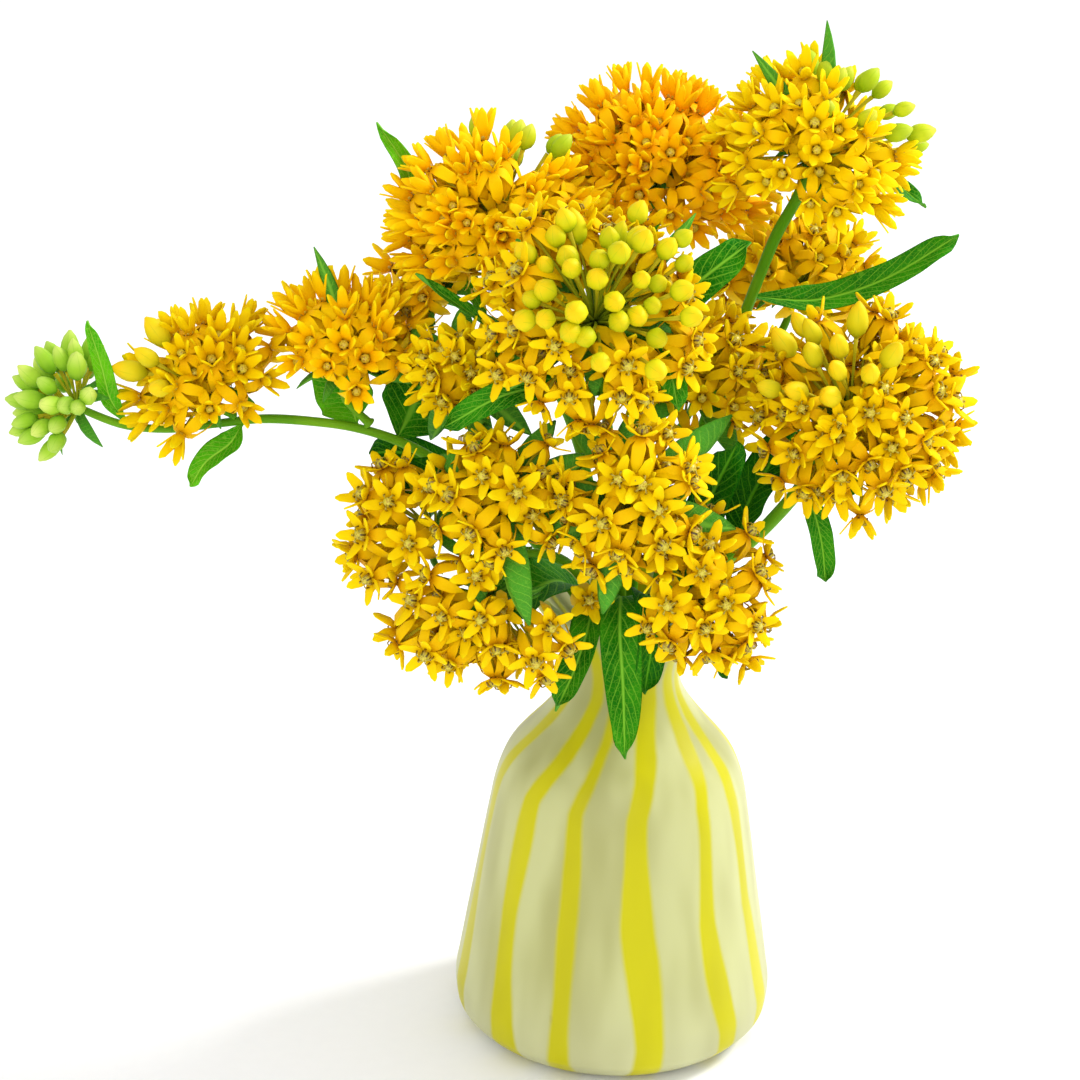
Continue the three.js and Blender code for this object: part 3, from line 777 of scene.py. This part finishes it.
# flowers, spread: how many, and the half angle in degrees that they fill
# openness, tint: of the flowers. grow: how far they stand beyond the CAD dome
# leafy: size of the narrow leaves at the hub
# buds, bud: how many, and their tint. gather, cap: the way they point, and the half angle that they fill
# depth, size: their share of the reach, and their length and radius in mm. tall: stretch of the two highest
# slivers: tips in mm of narrow leaves above the flowers. lone: place in mm of a flower that hangs alone
UMBELS = {
    "umbel_tip_green_buds": dict(
        flowers=0, tint="lemon", grow=1.06,
        buds=34, bud="green", gather=(-0.8, -0.15, 0.5), cap=88, depth=(0.75, 1.08), size=(8.6, 2.3),
    ),
    "umbel_left_yellow": dict(
        flowers=32, spread=98, openness=0.25, tint="yellow", grow=1.12,
        buds=4, bud="amber", gather=(-0.8, -0.5, 0.5), cap=30, depth=(0.95, 1.1), size=(9.0, 2.6),
    ),
    "umbel_left_orange": dict(
        flowers=32, spread=78, openness=0.1, tint="orange", grow=1.12, slivers=((-77, -2, 204),),
    ),
    "umbel_upper_left": dict(
        flowers=64, spread=108, openness=0.14, tint="orange", grow=1.18,
        buds=8, bud="lime", gather=(0.3, 0.4, 1), cap=34, depth=(0.9, 1.08),
    ),
    "umbel_top_orange": dict(flowers=80, spread=112, openness=0.14, tint="deep_orange", grow=1.12),
    "umbel_top_lemon": dict(
        flowers=56, spread=106, openness=0.3, tint="lemon", grow=1.1,
        buds=14, bud="lime", gather=(0.8, 0.1, 0.9), cap=46, depth=(0.8, 1.12),
        slivers=((41, 14, 259), (24, 14, 251)),
    ),
    "umbel_right": dict(
        flowers=70, spread=112, openness=0.75, tint="yellow", grow=1.06,
        buds=12, bud="amber", gather=(-0.35, -0.5, 0.9), cap=36, depth=(0.95, 1.1), size=(8.8, 2.5),
    ),
    "umbel_front_budded": dict(
        flowers=62, spread=102, openness=0.9, tint="yellow", grow=1.14, leafy=2.0,
        buds=36, bud="yellow", gather=(0.16, -0.78, 0.8), cap=50, depth=(0.8, 1.18), size=(6.2, 2.5),
        tall=1.45, slivers=((12, -26, 224),),
    ),
    "umbel_small_left": dict(flowers=14, spread=95, openness=0.4, tint="orange", grow=1.4),
    "umbel_inner_left": dict(flowers=16, spread=72, openness=0.7, tint="amber", grow=1.15, leafy=2.0),
    "umbel_inner_amber": dict(flowers=30, spread=100, openness=0.6, tint="amber", grow=1.35, leafy=2.2),
    "umbel_back_right": dict(flowers=32, spread=108, openness=0.45, tint="amber", grow=1.12),
    "umbel_low_left": dict(flowers=20, spread=98, openness=0.95, tint="amber", grow=1.25, leafy=2.2),
    "umbel_low_centre": dict(
        flowers=24, spread=98, openness=0.95, tint="amber", grow=1.25, leafy=2.2, lone=(-9, -29, 128),
    ),
    "umbel_low_right": dict(flowers=22, spread=92, openness=1.0, tint="yellow", grow=1.08),
    "umbel_drooping_left": dict(flowers=14, spread=66, openness=0.85, tint="yellow", grow=1.1),
    "umbel_drooping": dict(flowers=24, spread=78, openness=0.95, tint="yellow", grow=1.03),
}


def petal_sets():
    """Hood and corolla materials for each tint."""
    colours = {
        "deep_orange": ((246, 170, 0), (250, 196, 0), (250, 214, 8), (246, 176, 0), (250, 198, 2)),
        "orange": ((244, 180, 0), (248, 202, 0), (248, 220, 10), (244, 186, 0), (248, 208, 2)),
        "amber": ((228, 180, 0), (236, 202, 0), (240, 218, 10), (228, 174, 0), (236, 194, 2)),
        "yellow": ((232, 182, 0), (238, 202, 0), (240, 216, 8), (232, 174, 0), (238, 194, 2)),
        "lemon": ((238, 192, 0), (245, 213, 2), (246, 226, 10), (236, 186, 0), (245, 206, 2)),
    }
    sets = {}
    for tint, (base, middle, tip, deep, light) in colours.items():
        hood = petal_material("hood_" + tint, srgb(*base), srgb(*middle), srgb(*tip))
        corolla = petal_material("petal_" + tint, srgb(*deep), srgb(*light), srgb(*middle))
        sets[tint] = (hood, corolla)
    return sets


def bud_set():
    colours = {
        "green": ((116, 180, 24), (168, 206, 56), (208, 222, 110)),
        "lime": ((130, 172, 12), (186, 200, 24), (212, 214, 70)),
        "yellow": ((150, 180, 8), (212, 204, 14), (240, 194, 8)),
        "amber": ((176, 184, 14), (224, 204, 22), (246, 196, 12)),
    }
    return {name: bud_material("bud_" + name, *(srgb(*c) for c in ramp)) for name, ramp in colours.items()}


def even_directions(count, half_angle, rng):
    """Directions about +Z: a golden-angle spiral over the cap, equal areas apart, shaken a little."""
    k = np.arange(count) + 0.5
    fall = np.arccos(1 - k / count * (1 - math.cos(half_angle)))
    fall = np.abs(fall + rng.normal(0, 0.08, count))
    turn = k * GOLDEN_TURN + rng.normal(0, 0.12, count)
    return np.stack([np.sin(fall) * np.cos(turn), np.sin(fall) * np.sin(turn), np.cos(fall)], axis=1)


def stalks(hub, ends, facings):
    """Thin stalks from the hub, each bent so that it arrives straight behind its flower or bud."""
    lengths = np.linalg.norm(ends - hub, axis=1, keepdims=True)
    bend = ends - facings * lengths * 0.45
    centres = bezier((np.broadcast_to(hub, ends.shape), bend, ends), np.linspace(0, 1, 6))
    radii = np.broadcast_to(np.array([0.5, 0.4, 0.36, 0.36, 0.42, 0.62]) * MM, centres.shape[:2])
    return skin(tube_rings(centres, radii, 5), STALK)


def bud_cap(plan):
    """The way an umbel's buds gather, and the half angle that they fill."""
    return unit(np.array(plan["gather"], float)), math.radians(plan["cap"])


def open_flowers(plan, hub, axis, reach, rng):
    """Flowers over the dome, a quarter as many deeper in, and their stalks. The buds' cap is kept clear."""
    openness = plan["openness"]
    turn = frames_about(axis[None])[0].T
    out = even_directions(plan["flowers"], math.radians(plan["spread"]), rng) @ turn
    inside = even_directions(len(out) // 4, math.radians(plan["spread"] * 0.8), rng) @ turn
    if "buds" in plan:
        gather, cap = bud_cap(plan)
        out, inside = (ways[ways @ gather < math.cos(0.9 * cap)] for ways in (out, inside))
    share = [rng.uniform(0.94 - 0.14 * openness, 1.04, len(out)), rng.uniform(0.5, 0.72, len(inside))]
    out = np.concatenate([out, inside])
    swell = np.sin(out @ rng.normal(0, 3.2, 3) + rng.uniform(0, 6))
    share = np.concatenate(share) * (1 + (0.05 + 0.07 * openness) * swell)
    height = (6.2 - 3.2 * openness) * MM
    ends = hub + out * (reach - height) * share[:, None]
    facings = unit(out + rng.normal(0, 0.1 + 0.1 * openness, out.shape))
    spin = rng.uniform(0, 2 * math.pi, len(out))
    c, s, zero, one = np.cos(spin), np.sin(spin), np.zeros_like(spin), np.ones_like(spin)
    spins = np.stack([c, -s, zero, s, c, zero, zero, zero, one], axis=1).reshape(-1, 3, 3)
    turns = frames_about(facings) @ spins * rng.uniform(0.88, 1.1, (len(out), 1, 1))
    tones = rng.uniform(0, 1, len(out))
    kinds = [flower(np.clip(openness + more, 0, 1.05), rng) for more in (-0.16, -0.05, 0.05, 0.14)]
    pieces = []
    for kind, shape in enumerate(kinds):
        mine = np.arange(len(out)) % len(kinds) == kind
        pieces.append(shape.placed(turns[mine], ends[mine], tones[mine]))
    pieces.append(stalks(hub, ends, facings))
    if "lone" in plan:
        end, facing = np.array([plan["lone"]]) * MM, unit(np.array([[0.1, -0.9, 0.35]]))
        pieces.append(kinds[0].placed(frames_about(facing), end, np.array([0.3])))
        pieces.append(stalks(hub, end, facing))
    return pieces


def closed_buds(plan, hub, reach, rng):
    """Buds over their own cap, at different depths, and their stalks."""
    length, radius = (n * MM for n in plan.get("size", (7.0, 2.2)))
    gather, cap = bud_cap(plan)
    out = even_directions(plan["buds"], cap, rng) @ frames_about(gather[None])[0].T
    ends = hub + out * (reach - length * 0.7) * rng.uniform(*plan["depth"], (len(out), 1))
    facings = unit(out + rng.normal(0, 0.1, out.shape))
    turns = frames_about(facings) * rng.uniform(0.82, 1.08, (len(out), 1, 1))
    turns[np.argsort(out[:, 2])[-2:], :, 2] *= plan.get("tall", 1.0)
    return [bud(length, radius).placed(turns, ends, rng.uniform(0, 1, len(out))), stalks(hub, ends, facings)]


def make_umbel(node, petals, buds, shared, number):
    """Flowers and buds at the ends of stalks that meet at the umbel's hub, and narrow leaves around it."""
    plan = UMBELS[node]
    rng = np.random.default_rng(100 + number)
    hub, axis, reach = dome(node)
    reach = reach * plan["grow"]
    pieces = []
    if plan["flowers"]:
        pieces += open_flowers(plan, hub, axis, reach, rng)
    if "buds" in plan:
        pieces += closed_buds(plan, hub, reach, rng)
    pieces.append(bracts(hub, axis, plan.get("leafy", 1.0), rng))
    if "slivers" in plan:
        pieces.append(slivers(hub, np.array(plan["slivers"]) * MM))
    bud_skin = buds[plan.get("bud", "lime")]
    materials = [*petals[plan["tint"]], shared["column"], shared["stalk"], bud_skin, shared["bract"]]
    to_object(node.replace("umbel_", "flowers_"), joined(pieces), materials, [node])


def bracts(hub, axis, size, rng):
    """Narrow leaves around the hub: flattened tubes that leave it sideways and bend back along the stem."""
    count = 8
    turn = np.arange(count) * GOLDEN_TURN + rng.uniform(0, 6)
    low = rng.uniform(-0.5, 0.3, count)
    out = np.stack([np.cos(turn), np.sin(turn), low], axis=1) @ frames_about(axis[None])[0].T
    length = rng.uniform(8, 14, (count, 1)) * size * MM
    ends = hub + out * length - axis * 3.0 * MM
    middle = hub + out * length * 0.6 + axis * 2.0 * MM
    centres = bezier((np.broadcast_to(hub, ends.shape), middle, ends), np.linspace(0, 1, 7))
    radii = np.broadcast_to(np.array([0.5, 1.0, 1.5, 1.6, 1.4, 0.9, 0.15]) * size * MM, centres.shape[:2])
    flat = tube_rings(centres, radii, 8) - centres[:, :, None]
    flat = flat - 0.8 * (flat * axis).sum(-1, keepdims=True) * axis
    return skin(centres[:, :, None] + flat, BRACT)


def slivers(hub, tips):
    """Narrow leaves from the hub up through the flowers: flattened tubes, widest two thirds of the way."""
    middle = (hub + tips) / 2 + [3 * MM, 0, 0]
    centres = bezier((np.broadcast_to(hub, tips.shape), middle, tips), np.linspace(0, 1, 10))
    radii = np.array([0.5, 0.7, 0.9, 1.2, 1.6, 1.9, 1.8, 1.5, 0.9, 0.15]) * MM
    radii = np.broadcast_to(radii, centres.shape[:2])
    flat = (tube_rings(centres, radii, 8) - centres[:, :, None]) * [1, 0.2, 1]
    return skin(centres[:, :, None] + flat, BRACT)


# ---------------------------------------------------------------- camera, light and floor

VIEW_DISTANCE = 1.0  # metres from the vase's middle
VIEW_HEIGHT = 27.0  # degrees above it
VIEW_ROLL = 1.8  # degrees
FOCAL, SENSOR = 133.3, 36.0  # mm
AIM = Vector((-0.0224, 0.0294, 0.1178))
FLOOR_HALF = 3.0
SKY_STRENGTH = 0.97
LAMP_AIM = Vector((0, 0, 0.15))
# place and width in metres, and watts
LAMPS = {"key": ((0.75, 0.3, 0.75), 0.3, 9.5), "front": ((-0.2, -1.3, 0.7), 1.1, 6.5)}


def make_camera():
    """A long lens in front of the bunch and above it, turned a touch about its own axis."""
    rise = math.radians(VIEW_HEIGHT)
    place = Vector((0, 0, 0.06)) + VIEW_DISTANCE * Vector((0, -math.cos(rise), math.sin(rise)))
    data = bpy.data.cameras.new("front_camera")
    data.lens = FOCAL
    data.sensor_width = SENSOR
    camera = bpy.data.objects.new("front_camera", data)
    bpy.context.scene.collection.objects.link(camera)
    turn = (AIM - place).to_track_quat("-Z", "Y").to_matrix()
    roll = Matrix.Rotation(math.radians(VIEW_ROLL), 3, "Z")
    camera.matrix_world = Matrix.Translation(place) @ (turn @ roll).to_4x4()
    bpy.context.scene.camera = camera


def add_lamp(name, place, width, power):
    data = bpy.data.lights.new(name, "AREA")
    data.shape = "DISK"
    data.size = width
    data.energy = power
    lamp = bpy.data.objects.new(name, data)
    lamp.location = place
    lamp.rotation_euler = (LAMP_AIM - Vector(place)).to_track_quat("-Z", "Y").to_euler()
    bpy.context.scene.collection.objects.link(lamp)


def make_stage():
    """A wide pale floor, an even white sky, and two soft lamps."""
    mesh = bpy.data.meshes.new("floor")
    half = FLOOR_HALF
    corners = [(-half, -half, 0), (half, -half, 0), (half, half, 0), (-half, half, 0)]
    mesh.from_pydata(corners, [], [(0, 1, 2, 3)])
    shader = Shader("pale_floor")
    grain = shader.noise(shader.coordinates(), 300.0)
    colour = shader.blend(grain, srgb(243, 243, 244), srgb(246, 246, 247))
    mesh.materials.append(shader.finish(Base_Color=colour, Roughness=0.8))
    floor = bpy.data.objects.new("floor", mesh)
    bpy.context.scene.collection.objects.link(floor)
    world = bpy.data.worlds.new("even_sky")
    world.use_nodes = True
    background = world.node_tree.nodes["Background"]
    background.inputs["Color"].default_value = (1.0, 1.0, 1.0, 1.0)
    background.inputs["Strength"].default_value = SKY_STRENGTH
    bpy.context.scene.world = world
    for name, lamp in LAMPS.items():
        add_lamp(name, *lamp)
    bpy.context.scene.view_settings.view_transform = "Standard"


# ---------------------------------------------------------------- assembly

make_camera()
make_stage()
umbel_names = [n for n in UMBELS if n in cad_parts]
hubs = np.array([dome(n)[0] for n in umbel_names])
make_vase()
stem_points = make_stems(hubs)
leaf_kinds = make_leaves(stem_points)
petals, buds = petal_sets(), bud_set()
shared = {
    "column": centre_material(),
    "stalk": stalk_material("flower_stalk", srgb(150, 176, 30), srgb(206, 178, 20)),
    "bract": leaf_kinds["mid"],
}
for number, node in enumerate(umbel_names):
    make_umbel(node, petals, buds, shared, number)
